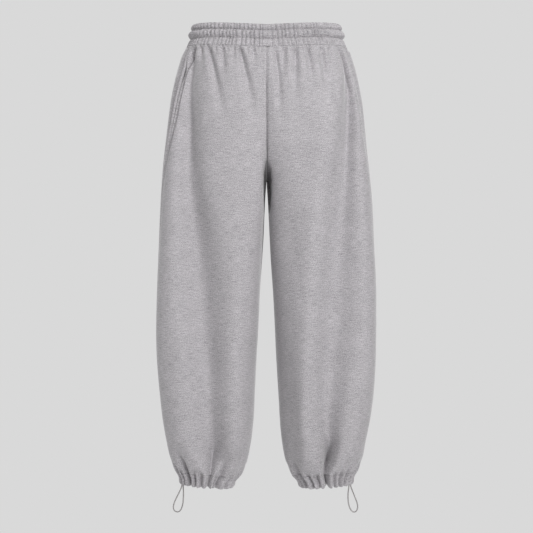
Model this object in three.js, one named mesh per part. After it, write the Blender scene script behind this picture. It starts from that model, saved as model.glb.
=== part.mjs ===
// Jogger sweatpants in brushed fleece, filled out as they are worn: a waistband gathered in three puffed
// rows, four leg panels and two gathered hem casings, from each of which an elastic cord hangs in a loop.
// Millimetres, +Z up. The origin is the centre of the waist opening, level with its top edge at the hips,
// and the front faces -Y. Each piece of cloth is a thin wall that keeps SEAM_GAP to the ones beside it.
import * as THREE from "three";

// Driving sizes
const CLOTH = 2.2; // thickness of the fleece
const SEAM_GAP = 0.3;
const BAND_BOTTOM = -48.5; // seam between the waistband and the panels
const CROTCH = -336; // where the seat seam ends and the legs part
const CASING_TOP = -960; // stitch line above the hem casing

// The waist edge dips at the centre, and each hem is higher on its outer side.
const DIP = { front: 12, back: 4 };
const DIP_POWER = 1.3;
const HIP_REACH = 165;
const DIP_ENDS = -260;
const HEM_TILT = 0.075;
const TILT_STARTS = -760;
const LEG_AXIS = 127; // distance of each ankle's middle from the centre plane

// The seat seam leaves the front and the back at these heights and curves under to the crotch. Above
// that it sinks a little between the legs, as a share of the garment's depth.
const SEAT_STARTS = { front: -240, back: -225 };
const SEAT_POWER = { front: 2.3, back: 2.4 };
const SEAT_SINKS = { from: -60, to: -280, share: 0.13 };

// The side seam runs forward of the widest line below the waist and swings back to it lower down.
const SEAM_FORWARD = 24; // degrees
const SEAM_SETTLES = [-150, -700];

// The garment at each height: how far it reaches out from the centre plane, how far from that plane the
// inside of the leg is, and how deep it is forward and back. Then how square the corners are, where 2 is
// an ellipse: the inner ones, the inner one of the wearer's left leg's front, and the outer ones.
const FORM = [
  { z: 0, outer: 157.5, inner: 0, front: 105, back: 108, square: 2.2, left: 2.2, round: 2.2 },
  { z: -20, outer: 161, inner: 0, front: 108, back: 112, square: 2.2, left: 2.2, round: 2.2 },
  { z: -40, outer: 165, inner: 0, front: 112, back: 116, square: 2.2, left: 2.2, round: 2.2 },
  { z: -49, outer: 171, inner: 0, front: 115, back: 120, square: 2.2, left: 2.2, round: 2.2 },
  { z: -62, outer: 179.5, inner: 0, front: 119, back: 127, square: 2.3, left: 2.3, round: 2.2 },
  { z: -95, outer: 190.5, inner: 0, front: 125, back: 140, square: 2.4, left: 2.4, round: 2.3 },
  { z: -160, outer: 204, inner: 0, front: 129, back: 154, square: 2.7, left: 2.6, round: 2.6 },
  { z: -224, outer: 212, inner: 0, front: 129, back: 156, square: 3.2, left: 2.9, round: 2.9 },
  { z: -268, outer: 216.5, inner: 0, front: 127, back: 151, square: 4.4, left: 3.3, round: 3.1 },
  { z: -310, outer: 220.5, inner: 0, front: 123, back: 143, square: 6.6, left: 3.7, round: 3.2 },
  { z: -336, outer: 222.5, inner: 0.3, front: 120, back: 136, square: 8, left: 3.8, round: 3.3 },
  { z: -375, outer: 225.5, inner: 3, front: 117, back: 129, square: 7, left: 3.5, round: 3.4 },
  { z: -470, outer: 230, inner: 8.6, front: 109, back: 116, square: 4.6, left: 3, round: 3.5 },
  { z: -600, outer: 235, inner: 15.5, front: 104, back: 109, square: 3.3, left: 2.6, round: 3.5 },
  { z: -720, outer: 234, inner: 21.5, front: 102, back: 106, square: 2.7, left: 2.4, round: 3.4 },
  { z: -800, outer: 228, inner: 26, front: 99, back: 102, square: 2.5, left: 2.3, round: 3.2 },
  { z: -850, outer: 221.5, inner: 29.5, front: 95, back: 98, square: 2.4, left: 2.3, round: 3 },
  { z: -895, outer: 213.5, inner: 35, front: 88, back: 91, square: 2.3, left: 2.2, round: 2.7 },
  { z: -930, outer: 207, inner: 42, front: 78, back: 80, square: 2.2, left: 2.2, round: 2.4 },
  { z: -960, outer: 195, inner: 55, front: 65, back: 67, square: 2.1, left: 2.1, round: 2.2 },
  { z: -974, outer: 186, inner: 68, front: 59, back: 61, square: 2.1, left: 2.1, round: 2.2 },
  { z: -988.5, outer: 184.5, inner: 73, front: 56, back: 58, square: 2.1, left: 2.1, round: 2.2 },
];

// Long folds. Each follows a line of [height, distance from the centre plane, how far the cloth stands
// out there (a trough is below zero), the fold's width on its outer side, its width on its inner side].
const FOLDS = [
  { leg: "right", face: "front", line: [
    [-46, 160, -2, 11, 11], [-74, 169, -7, 11, 11], [-138, 184, -10, 11, 12], [-224, 194, -9, 12, 13],
    [-331, 203, -5, 12, 13], [-400, 208, 0, 12, 13],
  ] },
  { leg: "right", face: "front", line: [
    [-56, 150, 0, 12, 16], [-100, 156, -7, 13, 22], [-138, 161, -11, 15, 26], [-200, 163, -17, 18, 30],
    [-340, 156, -24, 22, 33], [-480, 140, -26, 25, 34], [-600, 127, -26, 26, 34], [-720, 119, -25, 27, 33],
    [-850, 113, -24, 26, 30], [-930, 110, -18, 20, 25], [-948, 114, -8, 18, 18], [-959, 118, 0, 16, 16],
  ] },
  { leg: "right", face: "front", line: [
    [-240, 80, 0, 28, 28], [-480, 62, 5, 28, 28], [-720, 60, 6, 28, 26], [-880, 62, 6, 24, 22],
    [-950, 70, 0, 20, 18],
  ] },
  { leg: "left", face: "front", line: [
    [-46, 156, -2, 11, 11], [-62, 162, -7, 11, 11], [-85, 171, -10, 11, 11], [-118, 178, -13, 12, 13],
    [-162, 181, -15, 12, 16], [-224, 180, -16, 13, 20], [-331, 172, -18, 17, 26], [-460, 167, -19, 22, 32],
    [-590, 157, -20, 25, 34], [-718, 152, -21, 26, 32], [-800, 147, -22, 23, 28], [-850, 138, -22, 19, 24],
    [-905, 132, -22, 16, 18], [-935, 130, -17, 14, 15], [-950, 127, -7, 13, 13], [-959, 125, 0, 12, 12],
  ] },
  { leg: "left", face: "front", line: [
    [-160, 120, 0, 30, 30], [-300, 114, 8, 30, 34], [-460, 106, 11, 30, 34], [-590, 98, 12, 30, 32],
    [-718, 92, 12, 30, 28], [-850, 87, 11, 26, 22], [-920, 88, 8, 20, 17], [-955, 84, 0, 18, 16],
  ] },
  { leg: "right", face: "back", line: [
    [-80, 150, 0, 14, 14], [-160, 156, -9, 18, 20], [-250, 158, -14, 24, 26], [-430, 146, -19, 28, 30],
    [-640, 128, -21, 28, 30], [-820, 118, -20, 26, 26], [-935, 112, -13, 20, 20], [-959, 112, 0, 18, 18],
  ] },
  { leg: "right", face: "back", line: [
    [-200, 98, 0, 34, 34], [-320, 92, 6, 38, 28], [-560, 80, 9, 36, 24], [-780, 74, 9, 30, 22],
    [-950, 80, 0, 20, 18],
  ] },
  { leg: "left", face: "back", line: [
    [-80, 154, 0, 14, 14], [-150, 158, -9, 16, 18], [-230, 160, -13, 22, 24], [-420, 152, -18, 28, 28],
    [-620, 134, -20, 28, 30], [-800, 124, -20, 22, 26], [-905, 122, -17, 16, 18], [-959, 120, 0, 14, 14],
  ] },
  { leg: "left", face: "back", line: [
    [-200, 104, 0, 34, 34], [-340, 98, 6, 38, 28], [-560, 86, 9, 36, 24], [-780, 80, 9, 30, 22],
    [-950, 84, 0, 20, 18],
  ] },
];
const FOLD_STRAIGHT = 1.5; // how much more than outwards the long folds go straight back

// Gathers below the waistband on each face: [distance from the centre plane at the seam, how far they run
// down, how far they lean out on the way, how deep they are].
const GATHERS = {
  right_front: [
    [27, 60, -3, 6], [57, 160, -35, 8], [76, 50, -3, 5], [93, 94, -4, 7], [122, 150, -35, 8],
    [138, 88, 4, 7], [154, 112, 12, 9],
  ],
  left_front: [
    [17.5, 150, 12, 7], [37, 104, -6, 7], [63, 170, -8, 8], [88, 130, 12, 8], [102, 40, 1, 5],
    [117, 160, 16, 8], [134, 60, 5, 7],
  ],
  right_back: [
    [15, 40, -3, 4], [33, 124, -14, 6], [52, 62, -5, 5], [74, 146, -12, 7], [92, 54, -4, 5],
    [110, 100, -9, 6], [130, 78, 4, 6],
  ],
  left_back: [
    [17, 66, 4, 5], [46, 140, -12, 7], [66, 52, 2, 5], [84, 104, 8, 6], [100, 40, 1, 4],
    [115, 126, 12, 7], [133, 48, 4, 5],
  ],
};
const GATHER_WIDTH = 6.5;

// Folds fade out over these widths at the seams.
const SEAM_FADE = 18;
const CENTRE_FADE = [6, 20];

// The hem: puffs of cloth between the pinches that the cord makes, running up into the leg.
const PINCHES = 18;
const PINCH_DEPTH = 6.5;
const PINCH_RISE = 52; // how far above the casing the pinches fade out
const PINCH_UNEVEN = 0.35; // swing of the pinches from an even pitch, in pitches
const PINCH_SWINGS = 3; // times it swings round the hem
const PINCH_SHIFT = { right: 4, left: 1 }; // where it starts, in radians
const PINCH_CROWN = 0.8; // less than 1 makes the puffs' crowns broad and the pinches narrow

// The waistband: three puffed rows between lines of stitching, and the pleats that the elastic makes.
const BAND_ROWS = [
  { z: 0, puff: 1.4, pleat: 1.8 },
  { z: -6, puff: 4.2, pleat: 3.6 },
  { z: -12.5, puff: -0.4, pleat: 1.8 },
  { z: -17, puff: 5, pleat: 3.8 },
  { z: -24.5, puff: 6.6, pleat: 4.6 },
  { z: -30.5, puff: -0.2, pleat: 1.8 },
  { z: -38, puff: 4.2, pleat: 3.6 },
  { z: -48.5, puff: 1.6, pleat: 2.4 },
];
const BAND_PLEATS = 98;
const BAND_INSIDE = [
  { z: -47, sunk: 4.2 },
  { z: -24, sunk: 4.6 },
  { z: -2, sunk: 3.6 },
];
const BAND_INSIDE_QUARTER = 24; // points on a quarter of the plain inside
const FLAT_PATCH = 10; // half width of the patch without pleats at the centre front

// The hem casing, rounded by the cord inside it
const CASING_ROWS = [
  { z: -960.6, puff: 0.4 },
  { z: -968, puff: 3.2 },
  { z: -978, puff: 4.2 },
  { z: -985.5, puff: 2.8 },
  { z: -988.5, puff: 0.6 },
];
const CASING_INSIDE = [
  { z: -988.5, sunk: 3 },
  { z: -963, sunk: 3.2 },
];
const CASING_POINTS = 64;

// The cord's loop, from the casing's lower edge and back to it: [distance from the centre plane, y, z]
const CORD_DIAMETER = 2.6;
const CORD_LINES = {
  right: [
    [181, -19.5, -984.8], [182, -19.6, -990], [186.6, -19.8, -1000], [192, -20, -1011], [196.6, -20, -1021],
    [199, -19.6, -1030], [198, -19, -1037.5], [193.6, -18.2, -1041.6], [188, -17.4, -1041.9],
    [183.4, -16.6, -1038], [180.6, -15.8, -1031], [178.8, -15, -1022], [177.9, -14, -1010],
    [178, -13, -998], [178.5, -12.3, -990], [178.6, -12, -984.6],
  ],
  left: [
    [180.1, -11.6, -984.6], [181, -12, -990], [184, -13, -998], [188.4, -14.6, -1009], [192.4, -16, -1019],
    [194.8, -17.4, -1028], [194.2, -18.6, -1036], [190.6, -19.6, -1041.4], [185.4, -20.4, -1042],
    [180.6, -21.2, -1038], [177.2, -21.8, -1031], [174.8, -22.4, -1021], [174, -23, -1010],
    [174.6, -23.4, -998], [175.6, -23.8, -990], [176, -23.9, -984.7],
  ],
};
const CORD_SIDES = 8;
const CORD_STEPS = 28;

// Heights of the panels' rows of points, and how many points each row has on its outer and inner part
const PANEL_ROWS = [
  -58, -70, -86, -106, -132, -166, -204, -240, -268, -290, -307, -320, -330, -335, -350, -392, -450, -520,
  -590, -660, -730, -790, -845, -888, -918, -940,
];
const PANEL_POINTS = [
  { z: BAND_BOTTOM, front: 24, back: 20, inner: 6 },
  { z: -132, front: 20, back: 15, inner: 6 },
  { z: -888, front: 20, back: 16, inner: 8 },
];
const INNER_PART = 34; // width of the inner part of a row, from the inside of the leg

const RIGHT_ANGLE = Math.PI / 2;
const ARC_SAMPLES = 240;

const clamp01 = (v) => Math.min(1, Math.max(0, v));
const ease = (v) => clamp01(v) ** 2 * (3 - 2 * clamp01(v));
const between = (a, b, v) => a + (b - a) * v;

// Smooth value of a table's column at a height, through all its rows.
function at(rows, z, height, column) {
  const last = rows.length - 1;
  const value = (i) => column(rows[Math.min(last, Math.max(0, i))]);
  const place = (i) => height(rows[Math.min(last, Math.max(0, i))]);
  const found = rows.findIndex((row) => height(row) < z);
  const i = found < 0 ? last - 1 : Math.max(0, found - 1);
  const span = place(i + 1) - place(i);
  const v = clamp01((z - place(i)) / span);
  const rise = (k) => (k < 0 || k >= last ? null : (value(k + 1) - value(k)) / (place(k + 1) - place(k)));
  const slope = (k) => ((rise(k) ?? rise(k - 1)) + (rise(k - 1) ?? rise(k))) / 2;
  return (
    value(i) * (1 + 2 * v) * (1 - v) ** 2 + value(i + 1) * v * v * (3 - 2 * v) +
    span * (slope(i) * v * (1 - v) ** 2 - slope(i + 1) * v * v * (1 - v))
  );
}

// How deep the seat seam still is at a height, as a share of the garment's depth: 0 below the crotch.
function seatDepth(face, z) {
  const sunk = SEAT_SINKS.share * ease((z - SEAT_SINKS.from) / (SEAT_SINKS.to - SEAT_SINKS.from));
  const down = clamp01((z - SEAT_STARTS[face]) / (CROTCH - SEAT_STARTS[face]));
  return (1 - sunk) * (1 - down ** SEAT_POWER[face]) ** (1 / SEAT_POWER[face]);
}

// One face of a leg's tube at a height, as it is on the side of +X. Above the crotch the tube would
// reach past the centre plane, so that its seat seam lies on that plane at the right depth.
function sectionAt(leg, face, z) {
  const get = (name) => at(FORM, z, (row) => row.z, (row) => row[name]);
  const square = get(leg === "left" && face === "front" ? "left" : "square");
  const [outer, depth] = [get("outer"), get(face)];
  const share = (1 - seatDepth(face, z) ** square) ** (1 / square);
  const inner = z < CROTCH ? get("inner") : (SEAM_GAP - outer * (1 - share)) / (1 + share);
  const [middle, half] = [(outer + inner) / 2, (outer - inner) / 2];
  return { middle, half, inner, depth, square, round: get("round") };
}

const otherFace = (face) => (face === "front" ? "back" : "front");

// A point of the tube: angle 0 is the outer side, 180 degrees the inner one and less than 0 is past the
// outer side, on the other face.
function onForm(leg, face, z, angle) {
  const section = sectionAt(leg, angle < 0 ? otherFace(face) : face, z);
  const [c, s] = [Math.cos(angle), Math.sin(angle)];
  const power = 2 / (c < 0 ? section.square : section.round);
  return new THREE.Vector2(
    section.middle + section.half * Math.sign(c) * Math.abs(c) ** power,
    section.depth * Math.sign(s) * Math.abs(s) ** power,
  );
}

// The angle at which a section is so far from the centre plane.
function angleAt(section, x) {
  const share = (x - section.middle) / section.half;
  if (share <= -1) return Math.PI;
  const power = (share < 0 ? section.square : section.round) / 2;
  return Math.acos(Math.sign(share) * Math.abs(share) ** power);
}

function sideAngle(z) {
  const settled = ease((z - SEAM_SETTLES[0]) / (SEAM_SETTLES[1] - SEAM_SETTLES[0]));
  return -THREE.MathUtils.degToRad(SEAM_FORWARD) * (1 - settled);
}

// A piece of a section between two angles, as evenly spaced points: each with its distance from the
// start and the direction that faces out of the cloth. The start and end are trimmed for the seams.
function alongSection(leg, face, z, from, to, count, trims) {
  const STEP = 2;
  const turn = face === "front" ? -1 : 1;
  const samples = [];
  for (let i = 0; i <= ARC_SAMPLES; i++) {
    const angle = between(from, to, i / ARC_SAMPLES);
    const p = onForm(leg, face, z, angle);
    samples.push({ angle, p, length: i ? samples[i - 1].length + p.distanceTo(samples[i - 1].p) : 0 });
  }
  const whole = samples[ARC_SAMPLES].length;
  const row = [];
  let k = 1;
  for (let j = 0; j < count; j++) {
    const wanted = between(trims[0], whole - trims[1], j / (count - 1));
    while (k < ARC_SAMPLES && samples[k].length < wanted) k++;
    const [a, b] = [samples[k - 1], samples[k]];
    const share = (wanted - a.length) / (b.length - a.length || 1);
    const angle = between(a.angle, b.angle, share);
    const p = a.p.clone().lerp(b.p, share);
    const along = b.p.clone().sub(a.p).normalize().multiplyScalar(Math.sign(to - from));
    const out = new THREE.Vector2(along.y, -along.x);
    const swell = z < CROTCH + STEP && z > CROTCH - STEP ? 0
      : onForm(leg, face, z + STEP, angle).sub(onForm(leg, face, z - STEP, angle)).dot(out) / (2 * STEP);
    row.push({
      x: p.x, y: turn * p.y, z, angle: turn * angle, length: wanted, whole,
      out: new THREE.Vector3(out.x, turn * out.y, -swell).normalize(),
    });
  }
  return row;
}

// How far the cloth is lowered or lifted from the level.
function levelAt(x, y, z) {
  const dip = y < 0 ? DIP.front : DIP.back;
  const waist = dip * (clamp01(Math.abs(x) / HIP_REACH) ** DIP_POWER - 1) * (1 - ease(z / DIP_ENDS));
  const hem = HEM_TILT * (Math.abs(x) - LEG_AXIS) * ease((z - TILT_STARTS) / (CASING_TOP - TILT_STARTS));
  return waist + hem;
}

const bump = (distance, width) => Math.exp(-((distance / width) ** 2));

// Long folds: how far the cloth stands out at a distance from the centre plane.
function foldsAt(leg, face, x, z) {
  let sum = 0;
  for (const fold of FOLDS) {
    if (fold.leg !== leg || fold.face !== face) continue;
    if (z > fold.line[0][0] || z < fold.line.at(-1)[0]) continue;
    const column = (k) => at(fold.line, z, (point) => point[0], (point) => point[k]);
    const off = x - column(1);
    sum += column(2) * bump(off, column(off > 0 ? 3 : 4));
  }
  return sum;
}

// Waist gathers: how far they draw the cloth in.
function gathersAt(leg, face, x, z) {
  let sum = 0;
  for (const [place, run, lean, depth] of GATHERS[leg + "_" + face]) {
    const down = (BAND_BOTTOM - z) / run;
    if (down > 1) continue;
    sum -= depth * (1 - ease(down)) * bump(x - place - lean * down, GATHER_WIDTH * (1 + down));
  }
  return sum;
}

// The pinches of the hem, from 0 on a puff's crown to -1 in a pinch.
function pinchAt(leg, angle) {
  const turn = (angle / (2 * Math.PI)) * PINCHES;
  const phase = turn + PINCH_UNEVEN * Math.sin(angle * PINCH_SWINGS + PINCH_SHIFT[leg]);
  return Math.abs(Math.cos(Math.PI * phase)) ** PINCH_CROWN - 1;
}

// A panel's row of outer points, anticlockwise from above, each with its inner one.
function panelRow(leg, face, z, counts) {
  const hand = leg === "left" ? 1 : -1;
  const section = sectionAt(leg, face, z);
  const seam = face === "front" ? -sideAngle(z) : sideAngle(z);
  const split = angleAt(section, Math.max(0, section.inner) + INNER_PART);
  const start = angleAt(section, SEAM_GAP / 2);
  const trim = SEAM_GAP / 2;
  const inner = alongSection(leg, face, z, start, split, counts.inner, [start === Math.PI ? trim : 0, 0]);
  const outer = alongSection(leg, face, z, split, seam, counts[face], [0, trim]);
  const row = [...inner, ...outer.slice(1)];
  const wallRow = row.map((place, i) => {
    const fromStart = i < counts.inner ? place.length : SEAM_FADE;
    const fromEnd = i < counts.inner ? SEAM_FADE : place.whole - place.length;
    const offCentre = clamp01((place.x - CENTRE_FADE[0]) / CENTRE_FADE[1]);
    const free = ease(fromStart / SEAM_FADE) * ease(fromEnd / SEAM_FADE) * offCentre;
    const rise = 1 - ease((z - CASING_TOP) / PINCH_RISE);
    const pinch = PINCH_DEPTH * rise * pinchAt(leg, place.angle);
    const fold = new THREE.Vector3(0, (face === "front" ? -1 : 1) * FOLD_STRAIGHT, 0).add(place.out);
    fold.setLength(1).multiplyScalar(free * foldsAt(leg, face, place.x, z));
    return wallAt(place, hand, free * gathersAt(leg, face, place.x, z) + pinch, CLOTH, fold);
  });
  return (hand > 0) === (face === "back") ? wallRow.reverse() : wallRow;
}

// The outer and inner point of a wall that is moved by a fold and stands out from the form by so much.
function wallAt(place, hand, stand, thickness, fold = new THREE.Vector3()) {
  const flat = new THREE.Vector3(place.x, place.y, place.z + levelAt(place.x, place.y, place.z)).add(fold);
  const mirror = (v) => new THREE.Vector3(hand * v.x, v.y, v.z);
  return {
    outer: mirror(flat.clone().addScaledVector(place.out, stand)),
    inner: mirror(flat.clone().addScaledVector(place.out, stand - thickness)),
  };
}

// Collects the points and faces of one closed solid.
class Solid {
  points = [];
  faces = [];

  row(vectors) {
    return vectors.map((v) => this.points.push(v) - 1);
  }

  // Faces between two rows that both run anticlockwise from above, whatever their numbers of points.
  zip(upper, lower) {
    const next = (k, row) => (k < row.length - 1 ? (k + 1) / (row.length - 1) : Infinity);
    let [i, j] = [0, 0];
    while (i < upper.length - 1 || j < lower.length - 1) {
      if (next(i, upper) <= next(j, lower)) {
        this.faces.push([upper[i], lower[j], upper[++i]]);
      } else {
        this.faces.push([upper[i], lower[j], lower[++j]]);
      }
    }
  }

  geometry() {
    return new THREE.BufferGeometry()
      .setAttribute("position", new THREE.Float32BufferAttribute(this.points.flatMap((v) => v.toArray()), 3))
      .setIndex(this.faces.flat());
  }
}

// A panel's wall from its rows: the inner side has the outer one's faces, turned round.
function panelGeometry(rows) {
  const solid = new Solid();
  const outer = rows.map((row) => solid.row(row.map((place) => place.outer)));
  const count = solid.points.length;
  rows.forEach((row) => solid.row(row.map((place) => place.inner)));
  for (let i = 1; i < rows.length; i++) solid.zip(outer[i - 1], outer[i]);
  const inside = solid.faces.map(([a, b, c]) => [a + count, c + count, b + count]);
  const rim = [
    ...outer[0].toReversed(),
    ...outer.slice(1, -1).map((row) => row[0]),
    ...outer.at(-1),
    ...outer.slice(1, -1).map((row) => row.at(-1)).toReversed(),
  ];
  solid.faces.push(...inside);
  rim.forEach((a, i) => {
    const b = rim[(i + 1) % rim.length];
    solid.faces.push([a, a + count, b + count], [a, b + count, b]);
  });
  return solid.geometry();
}

// A closed band round the waist or a leg: rings of points from the top down outside and up again inside.
function bandGeometry(rings) {
  const solid = new Solid();
  const rows = rings.map((ring) => solid.row(ring)).map((row) => [...row, row[0]]);
  rows.forEach((row, i) => solid.zip(row, rows[(i + 1) % rows.length]));
  return solid.geometry();
}

// A whole ring round the waist, anticlockwise from the centre front.
function waistRing(z, quarter) {
  const side = (face) => {
    const start = angleAt(sectionAt("right", face, z), 0);
    return alongSection("right", face, z, start, 0, quarter + 1, [0, 0]).slice(0, -1);
  };
  const [front, back] = [side("front"), side("back")];
  const turned = (place) => ({
    ...place, x: -place.x, out: new THREE.Vector3(-place.out.x, place.out.y, place.out.z),
  });
  const hip = (face) => alongSection("right", face, z, RIGHT_ANGLE / 2, 0, 2, [0, 0])[1];
  return [
    ...front, hip("front"), ...back.slice(1).toReversed(), back[0],
    ...back.slice(1).map(turned), turned(hip("back")), ...front.slice(1).toReversed().map(turned),
  ];
}

function waistband() {
  const outside = BAND_ROWS.map((row) =>
    waistRing(row.z, BAND_PLEATS / 2).map((place, i) => {
      const onPatch = place.y < 0 && Math.abs(place.x) < FLAT_PATCH;
      const groove = i % 2 === 1 && !onPatch;
      return wallAt(place, 1, row.puff - (groove ? row.pleat : 0), 0).outer;
    }),
  );
  const inside = BAND_INSIDE.map((row) =>
    waistRing(row.z, BAND_INSIDE_QUARTER).map((place) => wallAt(place, 1, -row.sunk, 0).outer));
  return bandGeometry([...outside, ...inside]);
}

function legPanel(leg, face) {
  const heights = [BAND_BOTTOM - SEAM_GAP, ...PANEL_ROWS, CASING_TOP];
  return panelGeometry(
    heights.map((z) => panelRow(leg, face, z, PANEL_POINTS.filter((entry) => z <= entry.z).at(-1))),
  );
}

function hemCasing(leg) {
  const hand = leg === "left" ? 1 : -1;
  const half = CASING_POINTS / 2;
  const ring = (z, stand) => {
    const front = alongSection(leg, "front", z, Math.PI, 0, half + 1, [0, 0]).slice(0, -1);
    const back = alongSection(leg, "back", z, 0, Math.PI, half + 1, [0, 0]).slice(0, -1);
    const row = [...front, ...back];
    if (hand < 0) row.reverse();
    return row.map((place) => wallAt(place, hand, stand(place), 0).outer);
  };
  const outside = CASING_ROWS.map((row) =>
    ring(row.z, (place) => row.puff + PINCH_DEPTH * pinchAt(leg, place.angle)));
  const inside = CASING_INSIDE.map((row) =>
    ring(row.z, (place) => PINCH_DEPTH * pinchAt(leg, place.angle) - row.sunk));
  return bandGeometry([...outside, ...inside]);
}

function hemCord(leg) {
  const hand = leg === "left" ? 1 : -1;
  const points = CORD_LINES[leg].map(([x, y, z]) => new THREE.Vector3(hand * x, y, z));
  const outline = new THREE.Shape();
  for (let i = 0; i < CORD_SIDES; i++) {
    const angle = (i / CORD_SIDES) * 2 * Math.PI;
    const corner = [Math.cos(angle), Math.sin(angle)].map((v) => (v * CORD_DIAMETER) / 2);
    if (i) outline.lineTo(...corner);
    else outline.moveTo(...corner);
  }
  return new THREE.ExtrudeGeometry(outline, {
    steps: CORD_STEPS,
    extrudePath: new THREE.CatmullRomCurve3(points),
  });
}

const fleece = new THREE.MeshStandardMaterial({ color: 0xafadb0, roughness: 0.95, metalness: 0 });
const cordCover = new THREE.MeshStandardMaterial({ color: 0xa8a3a3, roughness: 0.7, metalness: 0 });

const sweatpants = new THREE.Group();

function add(name, geometry, material) {
  const mesh = new THREE.Mesh(geometry, material);
  mesh.name = name;
  sweatpants.add(mesh);
}

add("waistband", waistband(), fleece);
for (const leg of ["right", "left"]) {
  add("front_panel_" + leg, legPanel(leg, "front"), fleece);
  add("back_panel_" + leg, legPanel(leg, "back"), fleece);
  add("hem_casing_" + leg, hemCasing(leg), fleece);
  add("hem_cord_" + leg, hemCord(leg), cordCover);
}

export default sweatpants;
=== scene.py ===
"""Jogger sweatpants in heather grey brushed fleece, filled out as they are worn.

A waistband gathered in three puffed rows, four leg panels, two gathered hem casings and, hanging out of
each casing, a loop of elastic cord. Each piece of cloth is a thin wall worked out from the garment's form,
with its gathers and folds laid over it. Metres; the front faces -Y and the waist opening is at the origin.
"""
import math

import bpy
import numpy as np
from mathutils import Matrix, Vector


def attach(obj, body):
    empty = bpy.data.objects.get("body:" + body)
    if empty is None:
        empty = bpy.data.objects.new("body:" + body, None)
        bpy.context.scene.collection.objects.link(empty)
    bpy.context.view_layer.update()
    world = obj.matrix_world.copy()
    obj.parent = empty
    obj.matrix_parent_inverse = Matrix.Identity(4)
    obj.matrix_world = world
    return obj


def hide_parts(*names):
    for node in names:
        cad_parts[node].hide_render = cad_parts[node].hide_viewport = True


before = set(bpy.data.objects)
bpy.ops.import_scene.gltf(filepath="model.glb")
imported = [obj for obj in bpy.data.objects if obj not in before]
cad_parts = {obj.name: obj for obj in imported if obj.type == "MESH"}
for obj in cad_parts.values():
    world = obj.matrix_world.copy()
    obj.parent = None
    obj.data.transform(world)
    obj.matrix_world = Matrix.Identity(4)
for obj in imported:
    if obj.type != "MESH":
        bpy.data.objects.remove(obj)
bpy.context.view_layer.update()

MM = 0.001

# Camera and picture
PHOTO_PIXEL = 2.15 * MM  # size of one pixel of the photograph at the garment
PHOTO_SIDE = 533
CAMERA_DISTANCE = 3.5
CAMERA_HEIGHT = -0.5175
SENSOR = 36.0
BACKDROP_GREY = 0.694  # linear
FLOOR_HEIGHT = -1.075
FLOOR_HALF = 6.0
SURROUND_LIGHT = 0.29  # how much of the backdrop's brightness reaches the cloth
SOFTBOXES = (  # name, place, size and watts
    ("key_softbox", (1.5, -3.7, 0.1), 1.2, 77),
    ("side_softbox", (-3.2, 0.7, -0.4), 1.2, 20),
    ("top_softbox", (0.3, -1.5, 1.8), 1.2, 30),
    ("low_softbox", (0.8, -2.4, -1.7), 1.2, 41),
    ("back_softbox", (-1.6, 3.0, 0.8), 1.6, 14),
)
LIGHTS_AIM = (0, 0, -0.5)

# Driving sizes, in millimetres
CLOTH = 2.2
SEAM_GAP = 0.3
BAND_BOTTOM = -48.5
CROTCH = -336
CASING_TOP = -960
DIP = {"front": 12, "back": 4}
DIP_POWER = 1.3
HIP_REACH = 165
DIP_ENDS = -260
HEM_TILT = 0.075
TILT_STARTS = -760
LEG_AXIS = 127
SEAT_STARTS = {"front": -240, "back": -225}
SEAT_POWER = {"front": 2.3, "back": 2.4}
SEAT_SINKS = {"from": -60, "to": -280, "share": 0.13}
SEAM_FORWARD = 24
SEAM_SETTLES = (-150, -700)
SEAM_SETTLES_POWER = 1.35
INNER_PART = 34
SECTION_SAMPLES = 600

# The garment at each height: reach out from the centre plane, distance of the leg's inside from that
# plane, depth forward and back, and how square the inner corners, the left front's inner corner and the
# outer corners are.
FORM_COLUMNS = ("z", "outer", "inner", "front", "back", "square", "left_square", "round")
FORM = [
    (0, 157.5, 0, 105, 108, 2.2, 2.2, 2.2),
    (-20, 161, 0, 108, 112, 2.2, 2.2, 2.2),
    (-40, 165, 0, 112, 116, 2.2, 2.2, 2.2),
    (-49, 171, 0, 115, 120, 2.2, 2.2, 2.2),
    (-62, 179.5, 0, 119, 127, 2.3, 2.3, 2.2),
    (-95, 190.5, 0, 125, 140, 2.4, 2.4, 2.3),
    (-160, 204, 0, 129, 154, 2.7, 2.4, 2.6),
    (-224, 212, 0, 129, 156, 3.2, 2.5, 2.9),
    (-268, 216.5, 0, 127, 151, 4.4, 2.9, 3.1),
    (-310, 220.5, 0, 123, 143, 6.6, 3.7, 3.2),
    (-336, 222.5, 0.3, 120, 136, 8, 3.8, 3.3),
    (-375, 225.5, 3, 117, 129, 7, 3.5, 3.4),
    (-470, 230, 8.6, 109, 116, 4.6, 3, 3.5),
    (-600, 235, 15.5, 104, 109, 3.3, 2.6, 3.5),
    (-720, 234, 21.5, 102, 106, 2.7, 2.4, 3.4),
    (-800, 228, 26, 99, 102, 2.5, 2.3, 3.2),
    (-850, 221.5, 29.5, 95, 98, 2.4, 2.3, 3),
    (-895, 213.5, 35, 88, 91, 2.3, 2.2, 2.7),
    (-930, 207, 42, 78, 80, 2.2, 2.2, 2.4),
    (-960, 195, 55, 65, 67, 2.1, 2.1, 2.2),
    (-974, 186, 68, 59, 61, 2.1, 2.1, 2.2),
    (-988.5, 184.5, 73, 56, 58, 2.1, 2.1, 2.2),
]

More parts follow.
